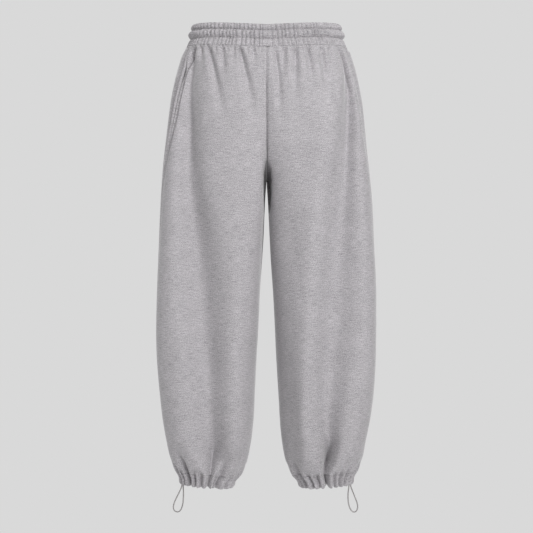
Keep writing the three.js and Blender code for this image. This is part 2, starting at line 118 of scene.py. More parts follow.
# Long folds of each leg's front and back. A line gives, from the top down, the height, the distance from
# the centre plane, how far the cloth stands out there, and how wide the fold is on its outer and inner side.
FOLDS = {
    ("right", "front"): [
        [(-56, 150, 0, 12, 14), (-100, 162, -13, 12, 17), (-138, 169, -22, 16, 21),
         (-200, 171, -32, 24, 25), (-340, 164, -38, 33, 32), (-480, 147, -39, 42, 36),
         (-600, 135, -36, 41, 37), (-720, 126, -34, 38, 33), (-800, 121, -31, 40, 30),
         (-850, 118, -35, 38, 28), (-930, 112, -30, 24, 24), (-948, 115, -12, 18, 18),
         (-959, 118, 0, 16, 16)],
        [(-70, 156, 0, 14, 46), (-130, 163, -8, 16, 60), (-224, 163, -14, 22, 66),
         (-331, 156, -6, 30, 60), (-470, 146, 0, 40, 50)],
        [(-240, 80, 0, 26, 26), (-480, 62, 5, 26, 26), (-720, 60, 7, 26, 24), (-880, 62, 8, 24, 20),
         (-950, 70, 0, 20, 16)],
        [(-860, 50, 0, 3, 3), (-908, 53, -3.5, 3, 4), (-945, 62, -4, 3, 4), (-958, 66, 0, 3, 3)],
    ],
    ("left", "front"): [
        [(-46, 156, -8, 5, 5), (-62, 161, -17, 5, 6), (-85, 170, -22, 5, 7), (-118, 177, -26, 7, 10),
         (-162, 180, -29, 8, 16), (-224, 178, -32, 10, 24), (-331, 166, -35, 22, 36),
         (-460, 153, -34, 36, 36), (-590, 140, -34, 46, 36), (-718, 134, -33, 42, 33),
         (-800, 129, -31, 31, 33), (-850, 129, -35, 25, 28), (-905, 135, -36, 13, 18),
         (-935, 131, -35, 9, 10), (-950, 126, -15, 8, 8), (-959, 123, 0, 8, 8)],
        [(-60, 168, 0, 8, 8), (-85, 177, 4, 9, 8), (-138, 188, 4, 12, 9), (-224, 196, 3, 14, 12),
         (-331, 200, 0, 16, 14)],
        [(-160, 120, 0, 30, 30), (-300, 114, 9, 34, 36), (-460, 104, 14, 36, 38),
         (-590, 95, 16, 34, 36), (-718, 87, 17, 32, 30), (-850, 80, 15, 28, 20), (-920, 82, 11, 22, 16),
         (-955, 82, 0, 18, 14)],
    ],
    ("right", "back"): [
        [(-80, 150, 0, 12, 12), (-160, 156, -12, 18, 20), (-250, 158, -18, 24, 26),
         (-430, 146, -24, 28, 30), (-640, 128, -27, 28, 30), (-820, 118, -26, 26, 26),
         (-935, 112, -18, 20, 20), (-959, 112, 0, 18, 18)],
        [(-200, 98, 0, 34, 34), (-320, 92, 6, 38, 28), (-560, 80, 9, 36, 24), (-780, 74, 9, 30, 22),
         (-950, 80, 0, 20, 18)],
    ],
    ("left", "back"): [
        [(-80, 154, 0, 12, 12), (-150, 158, -11, 16, 18), (-230, 160, -17, 22, 24),
         (-420, 152, -22, 28, 28), (-620, 134, -26, 28, 30), (-800, 124, -27, 22, 26),
         (-905, 122, -25, 15, 17), (-959, 120, 0, 12, 12)],
        [(-200, 104, 0, 34, 34), (-340, 98, 6, 38, 28), (-560, 86, 9, 36, 24), (-780, 80, 9, 30, 22),
         (-950, 84, 0, 20, 18)],
    ],
}
SEAM_FADE = 18
FOLD_STRAIGHT = 1.5  # how much of a long fold goes straight forward or back, against 1 outwards
CENTRE_FADE = (6, 20)  # from where, and over what distance, folds come free of the centre plane
SEAM_HOLDS = 13  # how far below the waistband the cloth comes free of its seam
SEAM_HOLDS_LESS = 0.28

# Gathers below the waistband: distance from the centre plane at the seam, run down, lean, depth and width.
GATHERS = {
    ("right", "front"): [
        (13, 30, 1, 5, 4), (27, 60, -3, 8, 4.5), (40, 30, 1, 4, 3.5), (57, 230, -50, 12, 6.5),
        (70, 60, -3, 6, 4.5), (81, 30, 1, 4, 3.5), (93, 94, -4, 8.5, 5), (107, 36, -2, 4.5, 4),
        (124, 220, -50, 11.5, 6.5), (138, 88, 4, 8, 5), (157, 112, 12, 9.5, 5.5),
    ],
    ("left", "front"): [
        (17.5, 205, 16, 13, 5), (27, 28, 0, 4, 3.5), (37, 104, -6, 9, 5), (55, 26, 0, 9, 3.5),
        (63, 170, -8, 11, 5.5), (75, 34, 2, 5, 4), (88, 140, 12, 12, 5.5), (102, 36, 1, 5, 4),
        (117, 160, 16, 11, 5.5), (134, 60, 5, 8, 4.5), (145, 28, 3, 4, 4),
    ],
    ("right", "back"): [
        (15, 40, -3, 4, 4.5), (33, 124, -14, 6.5, 5.5), (50, 62, -5, 5, 5), (62, 26, 0, 3, 4),
        (74, 146, -12, 7, 5.5), (92, 54, -4, 5, 4.5), (110, 100, -9, 6.5, 5.5), (130, 78, 4, 6, 5),
    ],
    ("left", "back"): [
        (17, 66, 4, 5, 5), (31, 30, 0, 3.5, 4), (46, 140, -12, 7, 5.5), (66, 52, 2, 5, 4.5),
        (84, 104, 8, 6.5, 5.5), (100, 34, 1, 3.5, 4), (115, 126, 12, 7, 5.5), (133, 48, 4, 5, 5),
    ],
}
GATHER_SPREAD = (0.8, 1.7)  # shares of its width: at the seam, and what is added down to its lower end

# Pinches that the cord makes in each hem: degrees from the hem's outer side, negative on the front, how
# far they run up from the casing, how many degrees they lean on the way, depth and width in degrees.
PINCHES = {
    "right": [
        (-24, 30, 2, 6, 4), (-36, 18, 2, 7, 3.5), (-51, 68, 8, 17, 6), (-67, 13, -2, 8, 3.5),
        (-80, 13, 4, 9, 3.5), (-94, 90, -4, 17, 4), (-105, 15, -6, 9, 3.5), (-115, 60, -6, 18, 5),
        (-136, 16, 2, 8, 4), (-156, 34, 4, 8, 4.5), (-174, 30, 0, 6, 4),
    ],
    "left": [
        (-20, 34, 0, 6, 4), (-34, 20, 3, 8, 4), (-49, 36, 5, 11, 4), (-63, 18, -3, 10, 4),
        (-76, 18, 2, 9, 3.5), (-91, 90, 7, 27, 4.2), (-106, 13, 4, 11, 4), (-121, 13, -3, 9, 4),
        (-143, 62, -4, 13, 7), (-158, 24, 3, 8, 4), (-172, 34, 0, 6, 4),
    ],
}
PINCH_DEEPER = 1.25
PINCH_SPREAD = 0.8  # how much wider a pinch is at its upper end
BACK_PINCHES = 13
BACK_PINCH_DEPTHS = (8, 12, 6, 14, 9)
BACK_PINCH_RISES = (36, 64, 30, 84, 46)
BACK_PINCH_WIDTH = 4.3
BACK_PINCH_PLACE = (0.25, 0.18, 2.4)  # first one, how far they stray from even spacing, and how quickly
BACK_PINCH_LEAN = (4, 1.7)  # how far they lean, and how quickly it changes


def back_pinches(shift):
    """The pinches of a hem's back, from its outer side to its inner one."""
    first, stray, quick = BACK_PINCH_PLACE
    lean, lean_quick = BACK_PINCH_LEAN
    pinches = []
    for place in range(BACK_PINCHES):
        k = place + shift
        pinches.append((
            (place + first + stray * math.sin(quick * k)) * 180 / BACK_PINCHES,
            BACK_PINCH_RISES[k % len(BACK_PINCH_RISES)], lean * math.cos(lean_quick * k),
            BACK_PINCH_DEPTHS[k % len(BACK_PINCH_DEPTHS)], BACK_PINCH_WIDTH,
        ))
    return pinches


PINCHES["right"] += back_pinches(0)
PINCHES["left"] += back_pinches(2)

# Waistband: the heights of the rows' seams, and how far the rows puff out between them
BAND_SEAMS = (0, -12.5, -30.5, -48.5)
BAND_PUFFS = (3.8, 7, 3.3)
BAND_SEAM_STANDS = (0.9, -2.6, -2.4, 1)
BAND_PLEATS = 98
BAND_PLEAT_DEPTHS = (5.4, 7.4, 6)
BAND_SEAM_PLEAT = 2.6
BAND_SUNK = 5.4
BAND_ROW_STEPS = (9, 13, 13)
BAND_COLUMNS_PER_PLEAT = 12
BELLY_POWER = 0.62
PLEAT_BLEND = 0.18  # share of a row over which its pleats pass into those of the next row
BAND_INSIDE = (  # height and distance in from the garment's form, from the bottom up
    (-47.8, 1.5), (-46.5, BAND_SUNK), (-36, BAND_SUNK + 0.5), (-24, BAND_SUNK + 0.6),
    (-12, BAND_SUNK + 0.3), (-3, BAND_SUNK - 0.6), (-0.6, BAND_SUNK - 2.2), (0.4, 0.4),
)
BAND_INSIDE_PLEAT = 0.35
THREAD_EVERY = 3  # a thread's line follows every third of the band's columns
WAIST_SAMPLES = 400
PLEAT_SEED = 7
PLEAT_PITCH_VARIES = 0.3
PLEAT_MOVES = 0.16  # how much the pitch changes again from row to row
PLEAT_STRENGTHS = (0.62, 1.12)
PLEAT_LEANS = 0.14
PLEAT_SHARPNESS = 1.05
FLAT_PATCH = (15, 10)  # half its width, and over what distance it passes into the pleats
FLATTENED = 0.85

# Hem: how far the leg puffs out above its casing, and the casing at each height
BLOUSE = 1.4
BLOUSE_RUN = (-936, -956)
CASING_BOTTOM = -988.5
CASING_STANDS = [(-960.2, 1.3), (-966, 1.5), (-973, 2.6), (-980, 3.4), (-985, 2.6), (-988.5, -0.4)]
CASING_SUNK = 3.6
CASING_ROWS = 20
CASING_INSIDE = (  # height and distance in, from the bottom up
    (CASING_BOTTOM - 0.2, 1.4), (CASING_BOTTOM + 0.6, CASING_SUNK - 0.6), (CASING_BOTTOM + 6, CASING_SUNK),
    (-970, CASING_SUNK + 0.3), (-962, CASING_SUNK + 0.2),
)
HEM_COLUMNS = 432
HEM_SCALLOP = 0.16  # how much the casing's lower edge rises where a pinch draws it in

# The elastic cord's loop at each hem, in metres, from the casing and back to it, for the side of +X
CORD_DIAMETER = 0.0026
CORD_ROUTES = {
    "right": [
        (0.181, -0.0195, -0.9848), (0.182, -0.0196, -0.99), (0.1866, -0.0198, -1.0),
        (0.192, -0.02, -1.011), (0.1966, -0.02, -1.021), (0.199, -0.0196, -1.03),
        (0.198, -0.019, -1.0375), (0.1936, -0.0182, -1.0416), (0.188, -0.0174, -1.0419),
        (0.1834, -0.0166, -1.038), (0.1806, -0.0158, -1.031), (0.1788, -0.015, -1.022),
        (0.1779, -0.014, -1.01), (0.178, -0.013, -0.998), (0.1785, -0.0123, -0.99),
        (0.1786, -0.012, -0.9846),
    ],
    "left": [
        (0.1801, -0.0116, -0.9846), (0.181, -0.012, -0.99), (0.184, -0.013, -0.998),
        (0.1884, -0.0146, -1.009), (0.1924, -0.016, -1.019), (0.1948, -0.0174, -1.028),
        (0.1942, -0.0186, -1.036), (0.1906, -0.0196, -1.0414), (0.1854, -0.0204, -1.042),
        (0.1806, -0.0212, -1.038), (0.1772, -0.0218, -1.031), (0.1748, -0.0224, -1.021),
        (0.174, -0.023, -1.01), (0.1746, -0.0234, -0.998), (0.1756, -0.0238, -0.99),
        (0.176, -0.0239, -0.9847),
    ],
}
CORD_SIDES = 12
CORD_STEPS_PER_POINT = 6


def hand_of(leg):
    """The side of X that a wearer's leg is on."""
    return 1 if leg == "left" else -1


def put(name, data):
    """A new object in the scene."""
    made = bpy.data.objects.new(name, data)
    bpy.context.collection.objects.link(made)
    return made


def node(tree, kind, **values):
    """A node with some of its inputs or settings filled in."""
    made = tree.nodes.new(kind)
    for name, value in values.items():
        if name in made.inputs:
            made.inputs[name].default_value = value
        else:
            setattr(made, name, value)
    return made


# Camera, floor and light


def place_camera():
    data = bpy.data.cameras.new("camera")
    data.sensor_width = SENSOR
    data.lens = SENSOR * CAMERA_DISTANCE / (PHOTO_SIDE * PHOTO_PIXEL)
    camera = put("camera", data)
    camera.location = (0, -CAMERA_DISTANCE, CAMERA_HEIGHT)
    camera.rotation_euler = (math.radians(90), 0, 0)
    bpy.context.scene.camera = camera


def light_studio():
    """Even grey surroundings, dimmer for the cloth than for the eye, and broad soft lights. The main one
    is above and to the right of the camera."""
    world = bpy.data.worlds.new("grey_studio")
    world.use_nodes = True
    tree = world.node_tree
    background = tree.nodes["Background"]
    background.inputs["Color"].default_value = (BACKDROP_GREY,) * 3 + (1,)
    seen = tree.nodes.new("ShaderNodeLightPath")
    strength = node(tree, "ShaderNodeMapRange", **{"To Min": SURROUND_LIGHT, "To Max": 1})
    tree.links.new(seen.outputs["Is Camera Ray"], strength.inputs["Value"])
    tree.links.new(strength.outputs["Result"], background.inputs["Strength"])
    bpy.context.scene.world = world
    for name, place, size, watts in SOFTBOXES:
        data = bpy.data.lights.new(name, "AREA")
        data.size = size
        data.energy = watts
        lamp = put(name, data)
        lamp.location = place
        aim = Vector(LIGHTS_AIM) - Vector(place)
        lamp.rotation_euler = aim.to_track_quat("-Z", "Y").to_euler()


def floor_material():
    material = bpy.data.materials.new("pale_grey_floor")
    material.use_nodes = True
    nodes = material.node_tree.nodes
    nodes.remove(nodes["Principled BSDF"])
    glow = nodes.new("ShaderNodeEmission")
    glow.inputs["Color"].default_value = (BACKDROP_GREY,) * 3 + (1,)
    material.node_tree.links.new(glow.outputs["Emission"], nodes["Material Output"].inputs["Surface"])
    return material


def lay_floor():
    mesh = bpy.data.meshes.new("floor")
    corners = ((-1, -1), (1, -1), (1, 1), (-1, 1))
    points = [(x * FLOOR_HALF, y * FLOOR_HALF, FLOOR_HEIGHT) for x, y in corners]
    mesh.from_pydata(points, [], [(0, 1, 2, 3)])
    mesh.materials.append(floor_material())
    put("floor", mesh)


# Form of the garment


def clamp01(v):
    return np.clip(v, 0, 1)


def ease(v):
    v = clamp01(v)
    return v * v * (3 - 2 * v)


def eased(v, start, end):
    """From 0 at the start to 1 at the end."""
    return ease((v - start) / (end - start))


def bump(distance, width):
    return np.exp(-((distance / width) ** 2))


def smooth(table, column, z):
    """Smooth value at z in a table's column. The table's first column is the height and runs down."""
    heights, values = (np.array([row[k] for row in table], float) for k in (0, column))
    rise = np.diff(values) / np.diff(heights)
    slope = np.concatenate([rise[:1], (rise[1:] + rise[:-1]) / 2, rise[-1:]])
    z = np.asarray(z, float)
    i = np.clip(np.searchsorted(-heights, -z, side="right") - 1, 0, len(heights) - 2)
    span = heights[i + 1] - heights[i]
    v = clamp01((z - heights[i]) / span)
    return (
        values[i] * (1 + 2 * v) * (1 - v) ** 2 + values[i + 1] * v * v * (3 - 2 * v)
        + span * (slope[i] * v * (1 - v) ** 2 - slope[i + 1] * v * v * (1 - v))
    )


def form_at(name, z):
    return float(smooth(FORM, FORM_COLUMNS.index(name), z))


def seat_depth(face, z):
    """How deep the seat seam still is, as a share of the garment's depth: 0 below the crotch."""
    sunk = SEAT_SINKS["share"] * eased(z, SEAT_SINKS["from"], SEAT_SINKS["to"])
    down = clamp01((z - SEAT_STARTS[face]) / (CROTCH - SEAT_STARTS[face]))
    power = SEAT_POWER[face]
    return (1 - sunk) * (1 - down**power) ** (1 / power)


def section_at(face, z, leg="right"):
    """One face of the leg's tube: its middle, half width, inner side, depth and squareness."""
    corners = "left_square" if (leg, face) == ("left", "front") else "square"
    square = form_at(corners, z)
    outer = form_at("outer", z)
    share = (1 - seat_depth(face, z) ** square) ** (1 / square)
    inner = form_at("inner", z) if z < CROTCH else (SEAM_GAP - outer * (1 - share)) / (1 + share)
    return {
        "middle": (outer + inner) / 2, "half": (outer - inner) / 2, "inner": inner,
        "depth": form_at(face, z), "square": square, "round": form_at("round", z),
    }


def on_section(section, angle):
    """Points of a section at angles from 0, its outer side, to 180 degrees, its inner one."""
    c, s = np.cos(angle), np.abs(np.sin(angle))
    power = 2 / np.where(c < 0, section["square"], section["round"])
    x = section["middle"] + section["half"] * np.sign(c) * np.abs(c) ** power
    return x, section["depth"] * s**power


def angle_at(section, x):
    """The angle at which a section is so far from the centre plane."""
    share = (x - section["middle"]) / section["half"]
    if share <= -1:
        return math.pi
    power = (section["square"] if share < 0 else section["round"]) / 2
    return math.acos(math.copysign(abs(share) ** power, share))


def side_angle(z):
    """How far the side seam lies to the front of the outer side, as an angle below zero."""
    settled = eased(z, *SEAM_SETTLES)
    return -math.radians(SEAM_FORWARD) * (1 - float(settled)) ** SEAM_SETTLES_POWER


def along_section(face, z, start, end, count, trims=(0, 0), leg="right"):
    """Evenly spaced points of a section: x, y, angle, distance from the start and the whole length."""
    angle = np.linspace(start, end, SECTION_SAMPLES)
    other = "back" if face == "front" else "front"
    x, y = on_section(section_at(face, z, leg), angle)
    if angle.min() < 0:
        x_past, y_past = on_section(section_at(other, z, leg), angle)
        x, y = np.where(angle < 0, x_past, x), np.where(angle < 0, -y_past, y)
    length = np.concatenate([[0], np.cumsum(np.hypot(np.diff(x), np.diff(y)))])
    wanted = np.linspace(trims[0], length[-1] - trims[1], count)
    turn = -1 if face == "front" else 1
    return {
        "x": np.interp(wanted, length, x), "y": turn * np.interp(wanted, length, y),
        "angle": turn * np.interp(wanted, length, angle), "length": wanted,
        "whole": length[-1],
    }


def level_at(x, y, z):
    """How far the cloth is lowered or lifted from the level."""
    dip = np.where(y < 0, DIP["front"], DIP["back"])
    waist = dip * (clamp01(np.abs(x) / HIP_REACH) ** DIP_POWER - 1) * (1 - ease(z / DIP_ENDS))
    hem = HEM_TILT * (np.abs(x) - LEG_AXIS) * eased(z, TILT_STARTS, CASING_TOP)
    return waist + hem


def folds_at(leg, face, x, z):
    """How far long folds make the cloth stand out."""
    total = np.zeros_like(x)
    for line in FOLDS[leg, face]:
        middle, depth, out_width, in_width = (smooth(line, column, z) for column in range(1, 5))
        within = (z <= line[0][0]) & (z >= line[-1][0])
        width = np.where(x > middle, out_width, in_width)
        total += np.where(within, depth * bump(x - middle, width), 0)
    return total


def held_at(z):
    """How freely the cloth moves below the waistband's seam, from 0 to 1."""
    return ease((BAND_BOTTOM - z) / SEAM_HOLDS + SEAM_HOLDS_LESS)


def gathers_at(leg, face, x, z):
    """How far the waist gathers draw the cloth in."""
    total = np.zeros_like(x)
    for place, run, lean, depth, width in GATHERS[leg, face]:
        down = clamp01((BAND_BOTTOM - z) / run)
        spread = width * (GATHER_SPREAD[0] + GATHER_SPREAD[1] * down)
        total -= depth * (1 - ease(down)) * bump(x - place - lean * down, spread)
    return total * held_at(z)


def pinches_at(leg, angle, z):
    """How far the hem's pinches draw the cloth in, at angles from the outer side, front ones negative."""
    total = np.zeros_like(angle)
    for place, rise, lean, depth, width in PINCHES[leg]:
        depth = PINCH_DEEPER * depth
        up = clamp01((z - CASING_TOP) / rise)
        middle = math.radians(place) + math.radians(lean) * up
        off = (angle - middle + math.pi) % (2 * math.pi) - math.pi
        total -= depth * (1 - ease(up)) * bump(off, np.radians(width) * (1 + PINCH_SPREAD * up))
    return total


# Meshes


def unit(vectors):
    return vectors / np.linalg.norm(vectors, axis=-1, keepdims=True)


def grid_normals(grid):
    """Outward directions on a grid of points whose rows run down and whose columns run anticlockwise."""
    normal = np.cross(np.gradient(grid, axis=0), np.gradient(grid, axis=1))
    return normal / (np.linalg.norm(normal, axis=2, keepdims=True) + 1e-12)


def longest(grid, axis):
    """Length in metres of a grid's longest line of points."""
    return float(np.linalg.norm(np.diff(grid, axis=axis), axis=2).sum(axis=axis).max() * MM)


def level_direction(out):
    return unit(out * (1, 1, 0))


def with_level(x, y, z):
    return np.stack([x, y, z + level_at(x, y, z)], axis=-1)


def placed_ring(ring_at, z):
    """A ring's points, the directions out of the cloth and the ring's length."""
    step = 2
    above, below = ring_at(z + step)[0], ring_at(z - step)[0]
    ring, whole = ring_at(z)
    along = np.roll(ring, -1, axis=0) - np.roll(ring, 1, axis=0)
    return ring, unit(np.cross(below - above, along)), whole


def build_mesh(name, points, faces, face_uvs, material, uv_name="cloth"):
    """An object from points and faces' UV in metres."""
    mesh = bpy.data.meshes.new(name)
    mesh.from_pydata(points.tolist(), [], faces)
    layer = mesh.uv_layers.new(name=uv_name)
    layer.data.foreach_set("uv", np.ravel(face_uvs))
    mesh.polygons.foreach_set("use_smooth", np.ones(len(mesh.polygons), bool))
    mesh.materials.append(material)
    mesh.validate()
    return put(name, mesh)


def wall_mesh(name, outer, inner, uv, material):
    """A closed wall between two open grids of points."""
    rows, columns = outer.shape[:2]
    count = rows * columns
    index = np.arange(count).reshape(rows, columns)
    a, b, c, d = index[:-1, :-1], index[1:, :-1], index[1:, 1:], index[:-1, 1:]
    outside = np.stack([a, b, c, d], axis=-1).reshape(-1, 4)
    inside = np.stack([d, c, b, a], axis=-1).reshape(-1, 4) + count
    rim = np.concatenate([index[0, ::-1], index[1:, 0], index[-1, 1:], index[-2:0:-1, -1]])
    after = np.roll(rim, -1)
    edges = np.stack([rim, rim + count, after + count, after], axis=-1)
    faces = np.concatenate([outside, inside, edges])
    points = np.concatenate([outer.reshape(-1, 3), inner.reshape(-1, 3)])
    both = np.concatenate([uv.reshape(-1, 2)] * 2)
    return build_mesh(name, points * MM, faces.tolist(), both[faces] * MM, material)


def ring_mesh(name, rings, u, v, material):
    """A closed ring from a closed profile of rings. u and v are the rings' UV, u with one more column."""
    rows, columns = rings.shape[:2]
    i, j = np.meshgrid(np.arange(rows), np.arange(columns), indexing="ij")
    i2, j2 = (i + 1) % rows, (j + 1) % columns
    faces = np.stack([i * columns + j, i2 * columns + j, i2 * columns + j2, i * columns + j2], axis=-1)
    next_v = np.roll(v, -1, axis=0)
    here, after = u[i, j], u[i, j + 1]
    corners = [(here, v[i, j]), (here, next_v[i, j]), (after, next_v[i, j]), (after, v[i, j])]
    uvs = np.stack([np.stack(corner, axis=-1) for corner in corners], axis=2)
    return build_mesh(name, rings.reshape(-1, 3) * MM, faces.reshape(-1, 4).tolist(), uvs * MM, material)


# Leg panels

BELOW_CROTCH = CROTCH - 1
PAST_EDGE = 2  # how far the two extra rows lie past a panel's ends
PANEL_STRETCHES = [  # from, to and step of the rows
    (BAND_BOTTOM - SEAM_GAP, -130, 2.2),
    (-130, -262, 6),
    (-262, CROTCH, 2.6),
    (BELOW_CROTCH, -880, 7),
    (-880, CASING_TOP, 2.2),
]
PANEL_COLUMNS = (24, 120)


def panel_heights():
    """The heights of a panel's rows, with one more past each end for the directions out of the cloth."""
    pieces = []
    for top, low, step in PANEL_STRETCHES:
        pieces.append(np.linspace(top, low, max(2, round((top - low) / step)), endpoint=False))
    return np.concatenate([[BAND_BOTTOM + PAST_EDGE]] + pieces + [[CASING_TOP, CASING_TOP - PAST_EDGE]])


def panel_grid(leg, face):
    """The panel's form without folds: a grid of points with the values that its folds are made from."""
    grid = {name: [] for name in ("x", "y", "z", "angle", "from_start", "from_end", "u")}
    for z in panel_heights():
        section = section_at(face, z, leg)
        seam = side_angle(z) * (1 if face == "back" else -1)
        split = angle_at(section, max(0, section["inner"]) + INNER_PART)
        trim = SEAM_GAP / 2
        start = angle_at(section, trim)
        first_trim = trim if start == math.pi else 0
        inner = along_section(face, z, start, split, PANEL_COLUMNS[0], (first_trim, 0), leg)
        outer = along_section(face, z, split, seam, PANEL_COLUMNS[1], (0, trim), leg)
        x, y, angle = (np.concatenate([inner[k], outer[k][1:]]) for k in ("x", "y", "angle"))
        from_start = np.concatenate([inner["length"], inner["whole"] + outer["length"][1:]])
        from_end = inner["whole"] + outer["whole"] - from_start
        values = (x, y, np.full_like(x, z), angle, from_start, from_end, -from_end)
        for column, value in zip(grid.values(), values):
            column.append(value)
    grid = {name: np.array(rows) for name, rows in grid.items()}
    if face == "back":
        grid = {name: rows[:, ::-1] for name, rows in grid.items()}
        grid["u"] = -grid["u"]
    return grid


ALLOWANCE = 6
ALLOWANCE_THICKNESS = 1
CENTRE_GAP = 0.1
CENTRE_LEANS = {"right": -1.2, "left": 2.6}  # away from the centre plane
CENTRE_LEANS_FROM = 12  # how far above the crotch they lean in full


def with_allowances(outer, inner, normal, uv, leans):
    """The wall's two sides with a strip turned in along each long edge, as a seam allowance is. Along
    the centre seam the right one leans over the left one."""
    inner = inner.copy()
    strips = []
    for edge, neighbour, side, lean in ((0, 1, -1, leans[0]), (-1, -2, 1, leans[1])):
        across = unit(outer[:, neighbour] - outer[:, edge]) * ALLOWANCE_THICKNESS
        inner[:, edge] += across
        strip = outer[:, edge] - normal[:, edge] * ALLOWANCE
        strip[:, 0] += lean
        strip_uv = uv[:, edge] + (side * ALLOWANCE, 0)
        strips.append((strip[:, None], (strip + across)[:, None], strip_uv[:, None]))
    return [np.concatenate([a, b, c], axis=1) for a, b, c in zip(strips[0], (outer, inner, uv), strips[1])]


# The recess where the legs part: how deep the cloth is drawn back there at each height
RECESS = [(-284, 0), (-300, 14), (-318, 44), (-340, 72), (-372, 66), (-402, 26), (-430, 0)]
RECESS_REACH = {"right": 5.4, "left": 9}  # how far its floor reaches from the centre
RECESS_WALL = 2.6
RECESS_OPENS = 1.6  # how soon it has its full reach
RECESS_FRONT = 40  # only cloth this far to the front is drawn back in full


def recess_at(leg, face, x, z):
    """How far the cloth is drawn straight back."""
    if face == "back":
        return np.zeros_like(x)
    depth = smooth(RECESS, 1, z)
    inside = (z < RECESS[0][0]) & (z > RECESS[-1][0])
    deepest = max(row[1] for row in RECESS)
    reach = RECESS_REACH[leg] * ease(depth / deepest * RECESS_OPENS)
    return np.where(inside, depth, 0) * (1 - ease((x - reach) / RECESS_WALL))


def free_of_seams(grid):
    """How freely the cloth moves away from a panel's long seams, from 0 to 1."""
    return ease(grid["from_start"] / SEAM_FADE) * ease(grid["from_end"] / SEAM_FADE)


def leg_panel(leg, face, material):
    grid = panel_grid(leg, face)
    base = with_level(grid["x"], grid["y"], grid["z"])
    base, normal = base[1:-1], grid_normals(base)[1:-1]
    grid = {name: rows[1:-1] for name, rows in grid.items()}
    x, z = grid["x"], grid["z"]
    off_centre = clamp01((x - CENTRE_FADE[0]) / CENTRE_FADE[1])
    free = free_of_seams(grid) * off_centre
    held = held_at(z)
    stand = free * held * gathers_at(leg, face, x, z)
    stand = stand + BLOUSE * eased(z, *BLOUSE_RUN)
    stand = stand + seam_relief(grid, leg, face)
    fold = normal + (0, -FOLD_STRAIGHT if face == "front" else FOLD_STRAIGHT, 0)
    fold = unit(fold) * (free * held * folds_at(leg, face, x, z))[..., None]
    pinch = level_direction(normal) * pinches_at(leg, grid["angle"], z)[..., None]
    outer = base + fold + pinch + normal * stand[..., None]
    inner = outer - normal * CLOTH
    sunk = recess_at(leg, face, outer[..., 0], z) * ease(-outer[..., 1] / RECESS_FRONT)
    outer[..., 1] += sunk
    inner[..., 1] += sunk
    uv = np.stack([grid["u"], z], axis=-1)
    centre = 0 if face == "front" else -1
    joined = z[:, 0] > BELOW_CROTCH
    outer[joined, centre, 0] = CENTRE_GAP / 2
    leans = [0, 0]
    leans[centre] = CENTRE_LEANS[leg] * ease((z[:, 0] - CROTCH) / CENTRE_LEANS_FROM)
    outer, inner, uv = with_allowances(outer, inner, normal, uv, leans)
    if hand_of(leg) < 0:
        outer, inner = outer[:, ::-1] * (-1, 1, 1), inner[:, ::-1] * (-1, 1, 1)
        uv = uv[:, ::-1] * (-1, 1)
    piece = wall_mesh(face + "_fleece_" + leg, outer, inner, uv, material)
    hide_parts(face + "_panel_" + leg)
    return piece, longest(outer, 1), longest(outer, 0)


# The cloth also sinks beside the upper side seams: height, how far from the seam, and depth
SIDE_CREASE = [
    (-48, 12, 8), (-60, 12, 15), (-74, 10, 20), (-96, 7, 23), (-138, 7.5, 23), (-200, 8, 19),
    (-240, 8, 12), (-310, 8, 4), (-380, 8, 0),
]
SIDE_CREASE_WIDTH = 7
SIDE_CREASE_SHARES = {
    ("right", "front"): 1, ("left", "front"): 0.2, ("right", "back"): 0.25, ("left", "back"): 0.15,
}
SIDE_CREASE_FADE = 8
SEAM_DIP = 1.1
SEAM_DIP_WIDTH = 2.6
CENTRE_LIFT = 0.8
CENTRE_DIP = 2.6
CENTRE_WIDTH = 3.4
CENTRE_FROM = 60  # how far above the crotch the centre seam has its full relief
RIPPLE_DEPTH = 0.9
RIPPLE_PITCH = 8.6
RIPPLE_RUN = 17
RIPPLE_SWAY = (1.6, 17)  # how far the ripples stray from an even pitch, and over what distance
RIPPLE_DEPTH_VARIES = (0.6, 11.3)  # share and distance
RIPPLE_RUN_VARIES = (0.5, 7.7)  # share and distance
SWELL = 1.3
SWELL_FADE = 60
SWELL_WAVES = (  # size, and two crossing waves: distance across, distance down and how far turned
    (1, (23, 160, 1), (51, 74, 2)),
    (0.6, (13, -210, 4), (math.inf, 47, 1)),
)
PANEL_TURNS = {"front": 0.3, "back": 2.1, "right": 0, "left": 1.7}  # so that no two panels are alike


def uneven(x, varies, turn):
    share, distance = varies
    return 1 + share * np.sin(x / distance + turn)


def ripples_at(x, down, turn):
    """Small waves that hang from the waistband's seam, uneven in depth and length."""
    sway, distance = RIPPLE_SWAY
    ripple = np.cos(2 * math.pi * x / RIPPLE_PITCH + sway * np.sin(x / distance + turn))
    ripple = RIPPLE_DEPTH * uneven(x, RIPPLE_DEPTH_VARIES, turn * 3) * ripple
    run = RIPPLE_RUN * uneven(x, RIPPLE_RUN_VARIES, turn)
    return (ripple + RIPPLE_DEPTH / 2) * (1 - ease(down / run))


def swell_at(x, z, turn):
    """Broad low waves, so that the cloth is nowhere quite even."""
    total = np.zeros_like(x)
    for size, first, second in SWELL_WAVES:
        for across, along, turned in (first, second):
            size = size * np.sin(x / across + z / along + turn * turned)
        total = total + size
    return SWELL * total


def side_crease_at(leg, face, from_seam, z):
    """The crease beside a side seam."""
    crease = bump(from_seam - smooth(SIDE_CREASE, 1, z), SIDE_CREASE_WIDTH)
    depth = np.maximum(smooth(SIDE_CREASE, 2, z), 0) * ease((BAND_BOTTOM - z) / SIDE_CREASE_FADE)
    return -SIDE_CREASE_SHARES[leg, face] * crease * depth * (z > SIDE_CREASE[-1][0])


